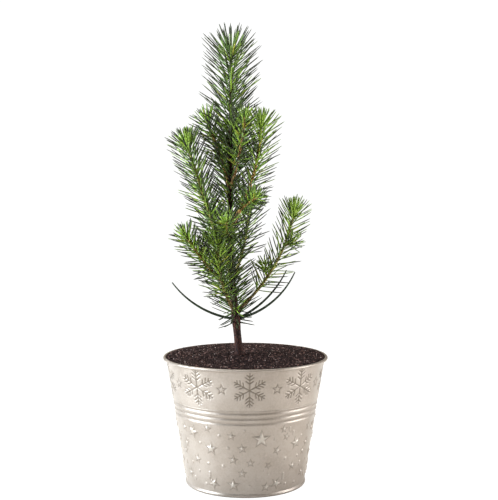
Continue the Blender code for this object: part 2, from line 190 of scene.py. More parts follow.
mottle, given, result = shader_group(
    "mottle",
    [("Vector", VECTOR, None), ("Scale", FLOAT, 100.0), ("Fine", FLOAT, 6.0),
     ("Dark", COLOUR, (0.1, 0.1, 0.1, 1)), ("Light", COLOUR, (0.8, 0.8, 0.8, 1))],
    [("Color", COLOUR), ("Mask", FLOAT), ("Grain", FLOAT)])
COARSE_SHARE = 0.65
MASK_ENDS = (0.36, 0.64)
coarse = place_node(mottle, "ShaderNodeTexNoise", {"Vector": given["Vector"], "Scale": given["Scale"],
                                                   "Detail": 4.0, "Roughness": 0.6}).outputs["Fac"]
fine_scale = maths(mottle, "MULTIPLY", given["Scale"], given["Fine"])
fine = place_node(mottle, "ShaderNodeTexNoise", {"Vector": given["Vector"], "Scale": fine_scale,
                                                 "Detail": 2.0}).outputs["Fac"]
both = maths(mottle, "ADD", maths(mottle, "MULTIPLY", coarse, COARSE_SHARE),
             maths(mottle, "MULTIPLY", fine, 1 - COARSE_SHARE))
mask = ramp(mottle, both, *MASK_ENDS)
mottle.links.new(blend_colours(mottle, mask, given["Dark"], given["Light"]), result["Color"])
mottle.links.new(mask, result["Mask"])
mottle.links.new(fine, result["Grain"])


def mottled(tree, scale, dark, light, fine=6.0, stretch=(1, 1, 1)):
    """A mottle group in a material, on Object coordinates stretched by three scales."""
    where = place_node(tree, "ShaderNodeTexCoord").outputs["Object"]
    where = place_node(tree, "ShaderNodeMapping", {"Vector": where, "Scale": stretch}).outputs[0]
    node = place_node(tree, "ShaderNodeGroup", node_tree=mottle)
    for key, value in (("Scale", scale), ("Fine", fine), ("Dark", (*dark, 1)), ("Light", (*light, 1))):
        node.inputs[key].default_value = value
    tree.links.new(where, node.inputs["Vector"])
    return node.outputs


def new_finish(name, roughness, metallic=0.0, gloss=0.5):
    """A material, its node tree and its Principled shader, with the values that are even."""
    finish = bpy.data.materials.new(name)
    finish.use_nodes = True
    shader = finish.node_tree.nodes["Principled BSDF"]
    shader.inputs["Roughness"].default_value = roughness
    shader.inputs["Metallic"].default_value = metallic
    shader.inputs["Specular IOR Level"].default_value = gloss
    return finish, finish.node_tree, shader


def add_bump(tree, shader, height, strength, distance):
    bump = place_node(tree, "ShaderNodeBump",
                      {"Height": height, "Strength": strength, "Distance": distance})
    tree.links.new(bump.outputs["Normal"], shader.inputs["Normal"])


print("the mottle group has", len(mottle.nodes), "nodes")

# %% [markdown]
# ## The floor and the light
# The plant stands on a white sweep that the light washes out, so the camera sees the floor
# mostly as a white glow, while the pot gets the light that a warm floor throws back. A large,
# cool lamp on the left makes the bright side of the pot, a weaker one on the right lifts its
# other edge, and the camera's side stays darker, which gives the pot its grey middle. The world
# is white to the camera and dim and warm to all else, so that it doesn't flatten the shapes.
# %% Floor and world
FLOOR_HALF = 6.0
FLOOR_COLOUR = (0.86, 0.83, 0.79, 1)
FLOOR_GLOW = 1.15
FLOOR_GLOW_SHARE = 0.88
WORLD_COLOUR = (1, 0.88, 0.76, 1)
WORLD_STRENGTH = 0.185
WORLD_WHITE = 1.05
WHITE = (1, 1, 1, 1)


def as_mesh(bm, name):
    mesh = bpy.data.meshes.new(name)
    bm.to_mesh(mesh)
    bm.free()
    return mesh


def seen_or_not(tree, unseen, seen, share=1.0):
    """One shader for the camera, or a share of it, and another for everything else."""
    camera_ray = place_node(tree, "ShaderNodeLightPath").outputs["Is Camera Ray"]
    part = maths(tree, "MULTIPLY", camera_ray, share)
    return place_node(tree, "ShaderNodeMixShader", {0: part, 1: unseen, 2: seen}).outputs[0]


floor_bm = bmesh.new()
bmesh.ops.create_grid(floor_bm, x_segments=1, y_segments=1, size=FLOOR_HALF)
floor_mesh = as_mesh(floor_bm, "floor")
floor = new_object("floor", floor_mesh)
floor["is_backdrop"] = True

sweep, tree, shader = new_finish("white_sweep", 0.9)
shader.inputs["Base Color"].default_value = FLOOR_COLOUR
glow = place_node(tree, "ShaderNodeEmission", {"Color": WHITE, "Strength": FLOOR_GLOW})
mix = seen_or_not(tree, shader.outputs[0], glow.outputs[0], FLOOR_GLOW_SHARE)
tree.links.new(mix, tree.nodes["Material Output"].inputs["Surface"])
floor_mesh.materials.append(sweep)

world = bpy.data.worlds.new("studio")
world.use_nodes = True
tree = world.node_tree
tree.nodes.clear()
soft = place_node(tree, "ShaderNodeBackground", {"Color": WORLD_COLOUR, "Strength": WORLD_STRENGTH})
white = place_node(tree, "ShaderNodeBackground", {"Color": WHITE, "Strength": WORLD_WHITE})
mix = seen_or_not(tree, soft.outputs[0], white.outputs[0])
place_node(tree, "ShaderNodeOutputWorld", {"Surface": mix})
bpy.context.scene.world = world
print("the floor reaches", FLOOR_HALF, "m each way, and the world's strength is", WORLD_STRENGTH)

# %% Lamps
Lamp = namedtuple("Lamp", "place size power colour")
LAMPS = {
    "left": Lamp((-1.3, -0.3, 0.5), (0.8, 1.2), 66, (0.76, 0.88, 1.0)),
    "right": Lamp((1.25, -0.1, 0.42), (0.7, 1.1), 27, (0.90, 0.95, 1.0)),
    "above": Lamp((-0.2, 0.3, 1.4), (0.8, 0.8), 20, (1.0, 1.0, 0.95)),
}
AIM = Vector((0, 0, 0.2))
for name, lamp in LAMPS.items():
    light = bpy.data.lights.new("lamp_" + name, "AREA")
    light.shape = "RECTANGLE"
    light.size, light.size_y = lamp.size
    light.energy = lamp.power
    light.color = lamp.colour
    holder = new_object("lamp_" + name, light)
    holder.location = lamp.place
    holder.rotation_euler = (AIM - Vector(lamp.place)).to_track_quat("-Z", "Y").to_euler()
print("lamps:", ", ".join(f"{name} {lamp.power} W" for name, lamp in LAMPS.items()))

# %% [markdown]
# ## Finishing a piece
# Every piece goes through the same last steps: its mesh becomes an object at the origin, it
# gets its finish and smooth shading, it rides on the body, and the solids that it stands for
# are hidden.
# %% Piece helper
def finish_piece(name, bm, finish, nodes, smooth=True):
    mesh = as_mesh(bm, name)
    mesh.materials.append(finish)
    mesh.polygons.foreach_set("use_smooth", [smooth] * len(mesh.polygons))
    piece = new_object(name, mesh)
    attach(piece, "root")
    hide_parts(*nodes)
    triangles = sum(len(face.vertices) - 2 for face in mesh.polygons)
    print(f"{name}: {triangles} triangles")


# %% [markdown]
# ## Strewing copies
# The pot's wedges, the soil's crumbs and the needles are all copies of a shape. A copy is the
# shape's mesh moved by a matrix and read into one growing bmesh, which keeps each kind in one
# piece.
# %% Copies
def strew(bm, shape, matrix):
    """Add a moved copy of a mesh to a bmesh."""
    shape.transform(matrix)
    bm.from_mesh(shape)
    shape.transform(matrix.inverted())


# %% [markdown]
# ## The pot
# The real pot is thin sheet metal, spun or rolled to a cone, with a rolled rim, a rolled foot,
# three grooves and a pressed pattern. A profile spun round the axis gives all of that but the
# pattern. The wall has a row of points every half millimetre or so, because the pattern is
# then pressed out of it as real relief. To keep each piece small enough, the pot is two closed
# pieces that meet above the highest groove. The rolled rim is a little thinner and lower than
# in the solids, because more of the soil shows on the real pot.
# %% Pot profile
POT_HEIGHT = 129 * MM
RIM_RADIUS = 82.5 * MM
RIM_BEAD = 1.5 * MM
RIM_DROP = 0.9 * MM
FOOT_BEAD = 1.9 * MM
FOOT_RADIUS = 60.4 * MM
WALL_FOOT = (59.6 * MM, 4.2 * MM)
WALL_HEAD = (79.3 * MM, 125.5 * MM)
WALL = 1.6 * MM
POT_FLOOR = 2.0 * MM
GROOVE_HEIGHTS = (74.3 * MM, 79.5 * MM, 84.7 * MM)
GROOVE_HALF_WIDTH = 1.9 * MM
GROOVE_DEPTH = 0.7 * MM
GROOVE_ROUND = 0.8
RIM_ARC = (-112, 180, 14)  # first and last angle, and steps
FOOT_ARC = (-90, 60, 8)
UNDERSIDE = ((0, 0.7 * MM), (55 * MM, 0.7 * MM), (57 * MM, 0))
SEAM = 86.8 * MM
ROW = 0.62 * MM
POT_STEPS = 640


def wall_radius(height):
    (foot, low), (head, high) = WALL_FOOT, WALL_HEAD
    return foot + (head - foot) * (height - low) / (high - low)


def groove_depth(height):
    """Rounded grooves: each is one dip of a cosine."""
    depth = 0.0
    for middle in GROOVE_HEIGHTS:
        away = abs(height - middle) / GROOVE_HALF_WIDTH
        if away < 1:
            depth = max(depth, GROOVE_DEPTH * (0.5 + 0.5 * math.cos(math.pi * away)) ** GROOVE_ROUND)
    return depth


def arc(centre, radius, first, last, steps):
    """Points on part of a circle, as (radius, height) of a profile. Angles in degrees."""
    angles = [math.radians(first + (last - first) * step / steps) for step in range(steps + 1)]
    return [(centre[0] + radius * math.cos(a), centre[1] + radius * math.sin(a)) for a in angles]


def wall_rows(low, high):
    rows = round((high - low) / ROW)
    heights = [low + (high - low) * row / rows for row in range(rows + 1)]
    return [(wall_radius(height) - groove_depth(height), height) for height in heights]


def inner_wall(height):
    return (wall_radius(height) - WALL, height)


RIM_CENTRE = (RIM_RADIUS - RIM_BEAD, POT_HEIGHT - RIM_DROP - RIM_BEAD)
FOOT_CENTRE = (FOOT_RADIUS - FOOT_BEAD, FOOT_BEAD)
upper_profile = wall_rows(SEAM, WALL_HEAD[1]) + arc(RIM_CENTRE, RIM_BEAD, *RIM_ARC)
upper_profile += [(WALL_HEAD[0] - WALL, WALL_HEAD[1] - WALL), inner_wall(SEAM)]
upper_profile.append(upper_profile[0])
lower_profile = list(UNDERSIDE)
lower_profile += arc(FOOT_CENTRE, FOOT_BEAD, *FOOT_ARC) + wall_rows(WALL_FOOT[1], SEAM)
lower_profile += [inner_wall(SEAM), inner_wall(POT_FLOOR), (0, POT_FLOOR)]
print("profile points:", len(upper_profile), "above the seam and", len(lower_profile), "below it")

# %% [markdown]
# ## Spinning the profile
# bmesh's spin turns the profile's edges round the Z axis. One wedge is spun and then copied
# round, because a spin of hundreds of steps gets slow. remove_doubles joins the wedges and
# closes the poles. The normals are worked out again, as a spin may turn a shape inside out.
# %% Spin
WEDGES = 20
WELD = 0.005 * MM


def spun(profile, steps):
    """A profile turned once round the Z axis, as a closed mesh."""
    wedge = bmesh.new()
    verts = [wedge.verts.new((radius, 0, height)) for radius, height in profile]
    edges = [wedge.edges.new(pair) for pair in zip(verts, verts[1:])]
    bmesh.ops.spin(wedge, geom=verts + edges, cent=(0, 0, 0), axis=(0, 0, 1),
                   angle=math.tau / WEDGES, steps=steps // WEDGES)
    wedge = as_mesh(wedge, "wedge")
    bm = bmesh.new()
    for turn in range(WEDGES):
        strew(bm, wedge, Matrix.Rotation(math.tau * turn / WEDGES, 4, "Z"))
    bmesh.ops.remove_doubles(bm, verts=bm.verts[:], dist=WELD)
    bmesh.ops.recalc_face_normals(bm, faces=bm.faces[:])
    return bm


# %% [markdown]
# ## The pressed pattern
# Snowflakes and little stars take turns round the upper band, engraved as thin sunk lines.
# Below the grooves, stars of several sizes and round or drop-shaped dots stand proud, strewn
# as if they fell. The height of the pattern at a point comes from distances: to a snowflake's
# strokes, to a star's outline, to a dot.
# %% Distances to the motifs
STROKE = 0.8 * MM  # half the width of a snowflake's strokes
FLAKE_RADIUS = 16.4 * MM
BARBS = ((0.38, 4.6 * MM), (0.58, 5.0 * MM), (0.78, 3.4 * MM))
BARB_ANGLE = 50
STAR_POINTS = 5
STAR_WAIST = 0.42  # the radius of a star's notches, as a share of its points' radius
STAR_PRESS = 1.0 * MM
STAR_SLOPE = 1.3 * MM


def to_segment(x, y, start, end):
    """The distance of points to a straight stroke."""
    dx, dy = end[0] - start[0], end[1] - start[1]
    share = np.clip(((x - start[0]) * dx + (y - start[1]) * dy) / (dx * dx + dy * dy), 0, 1)
    return np.hypot(x - start[0] - share * dx, y - start[1] - share * dy)


def flake_depth(x, y):
    """A six-armed snowflake with one arm upright. Each arm carries three pairs of barbs."""
    nearest = np.full_like(x, np.inf)
    for arm in range(6):
        turn = math.radians(90 + 60 * arm)
        along_arm = (math.cos(turn), math.sin(turn))
        tip = (along_arm[0] * FLAKE_RADIUS, along_arm[1] * FLAKE_RADIUS)
        nearest = np.minimum(nearest, to_segment(x, y, (0, 0), tip))
        for share, length in BARBS:
            root = (tip[0] * share, tip[1] * share)
            for side in (-BARB_ANGLE, BARB_ANGLE):
                way = turn + math.radians(side)
                end = (root[0] + length * math.cos(way), root[1] + length * math.sin(way))
                nearest = np.minimum(nearest, to_segment(x, y, root, end))
    share = np.clip(1 - nearest / STROKE, 0, 1)
    return share * share * (3 - 2 * share)


def star_depth(x, y, radius, turn):
    """How far a place is inside a star's outline. It is below zero outside."""
    around = np.arctan2(x, y) - math.radians(turn)
    away = np.hypot(x, y)
    sector = math.tau / STAR_POINTS
    folded = np.abs((around + sector / 2) % sector - sector / 2)
    px, py = away * np.cos(folded), away * np.sin(folded)
    waist = radius * STAR_WAIST
    notch = (waist * math.cos(sector / 2), waist * math.sin(sector / 2))
    edge = (notch[0] - radius, notch[1])
    return ((px - radius) * edge[1] - py * edge[0]) / -math.hypot(*edge)


def proud_star(x, y, radius, turn):
    """A star that slopes up from its outline to a flat or pointed top."""
    return STAR_PRESS * np.clip(star_depth(x, y, radius, turn) / STAR_SLOPE, 0, 1)


def outline(x, y, radius, turn, middle, half_width):
    """1 on a band that follows a star's outline, and 0 away from it."""
    return np.clip(1 - np.abs(star_depth(x, y, radius, turn) - middle) / half_width, 0, 1)


def dot_share(x, y, radius, half_length):
    away = to_segment(x, y, (0, -half_length), (0, half_length + 1e-6))
    return np.clip(1 - (away / radius) ** 2, 0, 1)


# %% [markdown]
# ## Where the motifs sit
# Nine snowflakes share the upper band evenly, with a star between each two. Two of each three
# flakes are wider. In the lower band the layout repeats three times round the pot. Each entry
# is an angle from the front and a height, with the sizes of the motif, measured off the real
# pot and rounded.
# %% Motif layout
FLAKES = 9
FLAKE_TURN = 3.2
FLAKE_HEIGHT = 107.6 * MM
FLAKE_SCALES = ((1.0, 1.0), (1.2, 1.05), (1.2, 1.05))  # width and height
UPPER_STAR_RADIUS = 6.2 * MM
UPPER_STAR_LINE = (0.5 * MM, 0.8 * MM)  # how far inside the outline, and half the width
REPEATS = 3
STAR_SCALE = 0.93
STAR_SHADE_LINE = (-0.15 * MM, 0.75 * MM)
REACHES = {"flake": 1.4, "upper star": 1.1, "star": 1.3, "dot": 1.1}
STARS = (  # angle, height, radius, turn
    (13, 59, 9.2, 0), (-47, 62, 7.2, 20), (-29, 48, 7.0, 4), (46, 51, 6.8, -12),
    (-29.5, 13, 6.6, 34), (-10.5, 13, 6.5, 0), (19, 10.5, 4.6, 8), (29, 13, 6.2, 28),
    (-31, 68, 4.2, 10), (-11, 62, 4.2, 6), (-2.5, 50, 4.6, -6), (-45, 35, 4.6, 14),
    (-10, 38.5, 4.6, 6), (4.5, 35.5, 3.8, 0), (-2.5, 25, 4.4, 4), (27, 46.5, 4.4, 22),
    (32, 67, 3.8, 0), (35, 59, 3.6, 16), (20, 32, 3.4, 30), (45, 28, 4.4, 0),
    (62, 64, 4.4, 12), (58, 40, 4.0, 0), (61, 18, 4.8, 20), (-58, 48, 4.4, -8),
)
DOTS = (  # angle, height, radius, half length
    (-21, 62, 1.6, 0), (-14, 50, 1.6, 0), (-33, 32.5, 1.3, 0), (-19, 31.5, 1.6, 0),
    (-44.5, 23, 1.3, 0), (4, 12, 1.5, 0), (10, 19, 1.3, 0), (-0.5, 67.5, 1.4, 0),
    (16.5, 43, 1.6, 0), (36, 37, 1.6, 0), (50.5, 37, 1.3, 0), (20.5, 23, 1.3, 0),
    (16.5, 27, 1.1, 0), (39, 11, 1.3, 0), (51, 10, 1.4, 0), (-33, 21, 1.3, 2.4),
    (35.5, 19.5, 1.3, 2.6), (38, 66, 1.2, 1.4), (42, 62, 1.1, 1.2), (53, 57, 1.3, 0),
    (56, 28, 1.2, 1.6), (-53, 30, 1.3, 0), (-40, 52, 1.2, 0), (-52, 14, 1.3, 1.2),
    (24, 58, 1.1, 0), (64, 52, 1.3, 0), (-38, 11, 1.2, 0),
)
FLAKE_DEPTH = 0.62 * MM
UPPER_STAR_DEPTH = 0.5 * MM
DOT_PRESS = 0.62 * MM
DOT_ROUND = 0.7


def pattern(angles, heights):
    """For places on the wall: how far out it is pressed, how far in it is engraved, and the painted
    shade round its stars.
    """
    proud, sunk, shade = (np.zeros_like(angles) for _ in range(3))

    def put(layer, angle, height, reach, shape):
        middle = wall_radius(height)
        turn = (angles - math.radians(angle) + math.pi) % math.tau - math.pi
        x, y = turn * middle, heights - height
        near = (np.abs(x) < reach) & (np.abs(y) < reach)
        layer[near] = np.maximum(layer[near], shape(x[near], y[near]))

    for index in range(FLAKES):
        angle = FLAKE_TURN + 360 / FLAKES * index
        wide, high = FLAKE_SCALES[index % len(FLAKE_SCALES)]
        put(sunk, angle, FLAKE_HEIGHT, FLAKE_RADIUS * REACHES["flake"],
            lambda x, y: FLAKE_DEPTH * flake_depth(x / wide, y / high))
        put(sunk, angle + 180 / FLAKES, FLAKE_HEIGHT, UPPER_STAR_RADIUS * REACHES["upper star"],
            lambda x, y: UPPER_STAR_DEPTH * outline(x, y, UPPER_STAR_RADIUS, 0, *UPPER_STAR_LINE))
    for repeat in range(REPEATS):
        start = 360 / REPEATS * repeat
        for angle, height, radius, turn in STARS:
            size = radius * STAR_SCALE * MM
            place = start + angle, height * MM, size * REACHES["star"]
            put(proud, *place, lambda x, y: proud_star(x, y, size, turn))
            put(shade, *place, lambda x, y: outline(x, y, size, turn, *STAR_SHADE_LINE))
        for angle, height, radius, half in DOTS:
            put(proud, start + angle, height * MM, (radius + half) * MM * REACHES["dot"],
                lambda x, y: DOT_PRESS * dot_share(x, y, radius * MM, half * MM) ** DOT_ROUND)
    return proud, sunk, shade


print("motifs:", FLAKES * 2, "above and", REPEATS * (len(STARS) + len(DOTS)), "below")

# %% [markdown]
# ## Pressing the wall
# The angle of a point is measured from the front, which is -Y. Each point of the outer wall
# moves out or in by the pattern there. The rim, the foot and the inner wall stay. Two numbers
# are kept with each point as attributes for the paint. The painted shade says how much it
# darkens where shade falls: in the engraving and the grooves, round the stars, under the rim
# and at the foot. The painted highlight says how much it lightens, as if lit, on the tops that
# stand proud.
# %% Press
# Painted shade: how much the paint darkens round the stars, in the grooves, at the foot and under the
# rim's crease, where shade falls.
STAR_SHADE = 0.6
GROOVE_SHADE = 0.35
FOOT_SHADE, FOOT_SHADE_TOP = 0.4, 4 * MM
RIM_SHADE, RIM_CREASE, RIM_CREASE_HALF = 0.35, 124.9 * MM, 1.1 * MM


def press_wall(bm, low, high):
    """Press the pattern into the outer wall between two heights. It tells how many points moved."""
    painted_shade_layer = bm.verts.layers.float.new("painted_shade")
    painted_highlight_layer = bm.verts.layers.float.new("painted_highlight")
    x, y, height = np.array([vert.co[:] for vert in bm.verts]).T
    radii = np.hypot(x, y)
    gap = wall_radius(height) - radii
    outer = (gap < GROOVE_DEPTH * 1.2) & (height > WALL_FOOT[1]) & (height < WALL_HEAD[1])
    proud, sunk, shade = pattern(np.arctan2(x, -y), height)
    inside = outer & (height > low) & (height < high)
    moved = 1 + (proud - sunk) * inside / np.maximum(radii, MM)
    # Painted shade at the foot, under the rim, in the grooves, in the engraving and round the stars.
    at_foot = np.clip(1 - height / FOOT_SHADE_TOP, 0, 1) * FOOT_SHADE
    under_rim = np.clip(1 - np.abs(height - RIM_CREASE) / RIM_CREASE_HALF, 0, 1) * RIM_SHADE
    in_groove = np.clip(gap / GROOVE_DEPTH, 0, 1) * GROOVE_SHADE
    painted_shade = in_groove + (sunk / FLAKE_DEPTH + shade * STAR_SHADE) * inside
    painted_shade = (painted_shade + under_rim) * outer + at_foot
    # Painted highlight: the tops that stand proud are lightened, as if the light caught them.
    painted_highlight = proud / STAR_PRESS * inside
    for vert, share, painted_shade_amount, highlight_amount in zip(bm.verts, moved, painted_shade, painted_highlight):
        vert.co.x *= share
        vert.co.y *= share
        vert[painted_shade_layer] = min(painted_shade_amount, 1.0)
        vert[painted_highlight_layer] = highlight_amount
    return int((moved != 1).sum())


# %% [markdown]
# ## Pearl paint
# The pot is sprayed a warm pearl colour with a satin sheen: partly metallic, not glossy. Painted
# shade makes the colour deeper in the hollows, and a painted highlight makes it a little lighter
# on the proud tops, as the two attributes say. Faint turning marks go round the wall, which a
# noise that is squeezed along Z gives.
# %% Pearl paint material
PEARL_DARK, PEARL_LIGHT = (0.28, 0.231, 0.190), (0.345, 0.290, 0.243)
# The colour of the painted highlight on the proud tops.
PAINTED_HIGHLIGHT_COLOUR = (0.47, 0.42, 0.36, 1)
# The dark brown that the painted shade darkens the paint towards.
PAINTED_SHADE_COLOUR = (0.115, 0.088, 0.062, 1)
pearl, tree, shader = new_finish("pearl_paint", 0.4, 0.55)
body = mottled(tree, 38, PEARL_DARK, PEARL_LIGHT, fine=14)
# The painted shade darkens the paint in the hollows, and the painted highlight lightens the proud tops.
painted_shade_amount = place_node(tree, "ShaderNodeAttribute", attribute_name="painted_shade").outputs["Fac"]
painted_highlight = place_node(tree, "ShaderNodeAttribute", attribute_name="painted_highlight").outputs["Fac"]
tone = blend_colours(tree, ramp(tree, painted_highlight, 0.3, 1.0, 0, 0.5), body["Color"], PAINTED_HIGHLIGHT_COLOUR)
tone = blend_colours(tree, ramp(tree, painted_shade_amount, 0.05, 0.8, 0, 0.85), tone, PAINTED_SHADE_COLOUR)
tree.links.new(tone, shader.inputs["Base Color"])
tree.links.new(ramp(tree, body["Mask"], 0, 1, 0.35, 0.46), shader.inputs["Roughness"])
turning = mottled(tree, 30, (0, 0, 0), (1, 1, 1), fine=3, stretch=(0.6, 0.6, 26))
add_bump(tree, shader, turning["Grain"], 0.12, 0.4 * MM)

# %% The two halves of the pot
POT_HALVES = {  # profile, and the heights that the pattern is pressed between
    "upper": (upper_profile, SEAM + 1 * MM, WALL_HEAD[1] - 0.5 * MM),
    "lower": (lower_profile, WALL_FOOT[1] + 0.5 * MM, GROOVE_HEIGHTS[0] - 2.2 * MM),
}
for half, (profile, low, high) in POT_HALVES.items():
    bm = spun(profile, POT_STEPS)
    print("points pressed in the", half, "half:", press_wall(bm, low, high))
    finish_piece("pot_" + half, bm, pearl, ["pot"])

# %% [markdown]
# ## The soil
# Potting mix is dark peat with crumbs, bits of bark and pale grains of perlite or sand. The bed
# is a spun disc whose top is roughened by noise. Its edge is a little higher than in the solids
# and reaches into the roll of the rim, because the real soil is pressed up against it.
# %% Soil bed
SOIL_EDGE = 128.1 * MM
SOIL_TOP = 128.5 * MM
SOIL_OVERLAP = 1.6 * MM
SOIL_FLAT = 16 * MM
SOIL_CURVE = 1.6
SOIL_RINGS = 60
SOIL_STEPS = 260
SOIL_BOTTOM = 100 * MM
LUMPS = ((5.5 * MM, 0.7), (1.9 * MM, 0.8))  # size, and height in mm
LUMP_SINK = 0.45
GAP = 0.3 * MM
soil_edge = wall_radius(SOIL_EDGE) - WALL - GAP + SOIL_OVERLAP


def soil_height(radius):
    share = max((radius - SOIL_FLAT) / (soil_edge - SOIL_FLAT), 0.0)
    return SOIL_EDGE + (SOIL_TOP - SOIL_EDGE) * (1 - share ** SOIL_CURVE)


bottom_edge = wall_radius(SOIL_BOTTOM) - WALL - GAP
soil_profile = [(0, SOIL_BOTTOM), (bottom_edge, SOIL_BOTTOM)]
soil_profile += [(soil_edge * ring / SOIL_RINGS, soil_height(soil_edge * ring / SOIL_RINGS))
                 for ring in range(SOIL_RINGS, -1, -1)]
soil_bm = spun(soil_profile, SOIL_STEPS)
for vert in soil_bm.verts:
    away = math.hypot(vert.co.x, vert.co.y)
    if vert.co.z > SOIL_EDGE - 1 * MM and away < soil_edge - 0.2 * MM:
        lumps = sum(noise.noise(vert.co / size) * height for size, height in LUMPS)
        vert.co.z += (lumps - LUMP_SINK) * MM

# %% Soil finish
peat, tree, shader = new_finish("potting_soil", 0.95, gloss=0.1)
body = mottled(tree, 260, (0.005, 0.0025, 0.002), (0.030, 0.0155, 0.013), fine=5)
tree.links.new(body["Color"], shader.inputs["Base Color"])
add_bump(tree, shader, body["Grain"], 0.8, 0.6 * MM)
finish_piece("soil_bed", soil_bm, peat, ["soil"])

# %% [markdown]
# ## Crumbs
# A crumb is an icosphere of 20 faces with its corners pushed in and out. Crumbs of peat, bark
# and grit differ in colour and size, and most are peat. They are strewn evenly over the bed,
# half sunk into it, each squashed and turned its own way.
# %% Crumbs
CRUMB_SHAPES = 6
CRUMB_EDGE = 0.975
CRUMB_SINK = 0.35 * MM


def crumb_shape(rng):
    bm = bmesh.new()
    bmesh.ops.create_icosphere(bm, subdivisions=1, radius=1.0)
    for vert in bm.verts:
        vert.co *= rng.uniform(0.7, 1.15)
    return as_mesh(bm, "crumb")


Crumbs = namedtuple("Crumbs", "count least most dark light")
CRUMBS = {
    "peat": Crumbs(2600, 0.6, 1.9, (0.006, 0.003, 0.0025), (0.034, 0.017, 0.0145)),
    "bark": Crumbs(1000, 0.5, 1.5, (0.060, 0.030, 0.024), (0.14, 0.078, 0.064)),
    "grit": Crumbs(650, 0.3, 0.8, (0.22, 0.15, 0.13), (0.48, 0.37, 0.33)),
}
rng = random.Random(f"{SEED} crumbs")
shapes = [crumb_shape(rng) for _ in range(CRUMB_SHAPES)]
for kind, crumbs in CRUMBS.items():
    bm = bmesh.new()
    for _ in range(crumbs.count):
        radius = soil_edge * CRUMB_EDGE * math.sqrt(rng.random())
        turn = rng.uniform(0, math.tau)
        size = rng.uniform(crumbs.least, crumbs.most) * MM
        place = Vector((radius * math.cos(turn), radius * math.sin(turn), 0))
        place.z = soil_height(radius) - CRUMB_SINK + rng.uniform(-0.3, 0.35) * MM
        squash = Vector((size, size * rng.uniform(0.5, 1), size * rng.uniform(0.35, 0.8)))
        around = Matrix.Rotation(rng.uniform(0, math.tau), 3, "Z")
        tumble = around @ Matrix.Rotation(rng.uniform(-0.5, 0.5), 3, "X")
        strew(bm, rng.choice(shapes), Matrix.LocRotScale(place, tumble.to_quaternion(), squash))
    finish, tree, shader = new_finish("crumbs_" + kind, 0.9, gloss=0.15)
    body = mottled(tree, 320, crumbs.dark, crumbs.light, fine=3)
    tree.links.new(body["Color"], shader.inputs["Base Color"])
    finish_piece("soil_" + kind, bm, finish, ["soil"], smooth=False)

# %% [markdown]
# ## The growing rule
# The trunk, the shoots and the needles follow the rule that made the solids, written again
# here. A line is walked step by step while its lean changes, and needles leave a stem a golden
# turn apart, wide at its root and closing at its tip.
# %% Lines
TRUNK_X = -6 * MM
TRUNK_HEIGHT = 301 * MM
TRUNK_STEPS = 301  # one for each millimetre
TRUNK_LEAN = 5.6
TRUNK_TOP_LEAN = -0.35
LEAN_ENDS = (60 * MM, 130 * MM)


def direction(azimuth, lean):
    """A way that leans from upright towards an azimuth, in degrees from +X."""
    turn, tilt = math.radians(azimuth), math.radians(lean)
    return Vector((math.sin(tilt) * math.cos(turn), math.sin(tilt) * math.sin(turn), math.cos(tilt)))


def ease(value):
    value = min(max(value, 0.0), 1.0)
    return value * value * (3 - 2 * value)


def facing(heading):
    """The turn that brings upright round to a heading."""
    return heading.to_track_quat("Z", "Y").to_matrix()


def walk(start, azimuth, lean_at, length, steps):
    """The points of a line whose lean depends on the share of it that is walked."""
    points = [start.copy()]
    for step in range(steps):
        heading = direction(azimuth, lean_at((step + 0.5) / steps))
        points.append(points[-1] + heading * (length / steps))
    return points


def along(points, distance):
    """The point at a distance along a line, and the heading there. All steps are equal."""
    span = (points[1] - points[0]).length
    index = min(max(int(distance / span), 0), len(points) - 2)
    heading = (points[index + 1] - points[index]).normalized()
    return points[index] + heading * (distance - index * span), heading


def even_bend(first, last):
    return lambda share: first + (last - first) * share


def trunk_lean(share):
    lower, upper = LEAN_ENDS
    fade = ease((share * TRUNK_HEIGHT - lower) / (upper - lower))
    return TRUNK_LEAN * (1 - fade) + TRUNK_TOP_LEAN * fade


trunk = walk(Vector((TRUNK_X, 0, SOIL_TOP + GAP)), 180, trunk_lean, TRUNK_HEIGHT, TRUNK_STEPS)
print("the trunk's tip stands at", in_mm(trunk[-1]))

# %% [markdown]
# ## The shoots
# Thirteen shoots leave the trunk in four whorls. Each one's row says where it leaves, which way
# it goes, how it bends, how long it is, how much of it is a bare bough, and how long and how
# many its needles are. Then come the colour of its bark and how bright its tip is. The lines
# are those of the solids, but four of them are turned or lengthened a little.
# %% Shoots
Shoot = namedtuple("Shoot", "root azimuth lean_root lean_tip length bare needle needles bark glow")
SHOOTS = {
    "right_upper": Shoot(127, -20, 33, 2, 110, 26, 28, 165, "orange", 1.1),
    "left_outer": Shoot(78, 190, 20, 17, 140, 30, 29, 225, "olive", 0.3),
    "right_low": Shoot(43, 8, 51, 11, 118, 26, 27, 125, "olive", 1.15),
    "left_upper": Shoot(160, 160, 11, 27, 80, 24, 25, 100, "orange", 0.35),
    "right_inner": Shoot(166, -58, 31, 12, 76, 22, 25, 80, "brown", 0.4),
    "front_low": Shoot(42, 232, 44, -2, 80, 17, 28, 145, "olive", 1.0),
    "left_low": Shoot(62, 215, 50, 36, 82, 24, 23, 132, "brown", 0.6),
    "back_low": Shoot(46, 118, 50, 8, 104, 24, 28, 115, "brown", 0.4),
    "back_middle": Shoot(74, 62, 44, 6, 92, 24, 27, 85, "olive", 0.4),
    "back_upper": Shoot(124, 95, 38, 4, 96, 26, 28, 75, "brown", 0.5),
    "back_high": Shoot(168, 78, 34, 4, 66, 20, 25, 50, "orange", 0.4),
    "front_middle": Shoot(109, 266, 62, 54, 50, 14, 23, 95, "brown", 0.4),
    "right_short": Shoot(133, -44, 42, 70, 47, 15, 18, 80, "orange", 0.7),
}
BOUGH_LEAST_RADIUS = 1.45 * MM
BOUGH_RADIUS_PER_LENGTH = 0.0055
BOUGH_TIP_SHARE = 0.72
STEM_TIP_RADIUS = 1.2 * MM
SHOOT_STEPS = 96


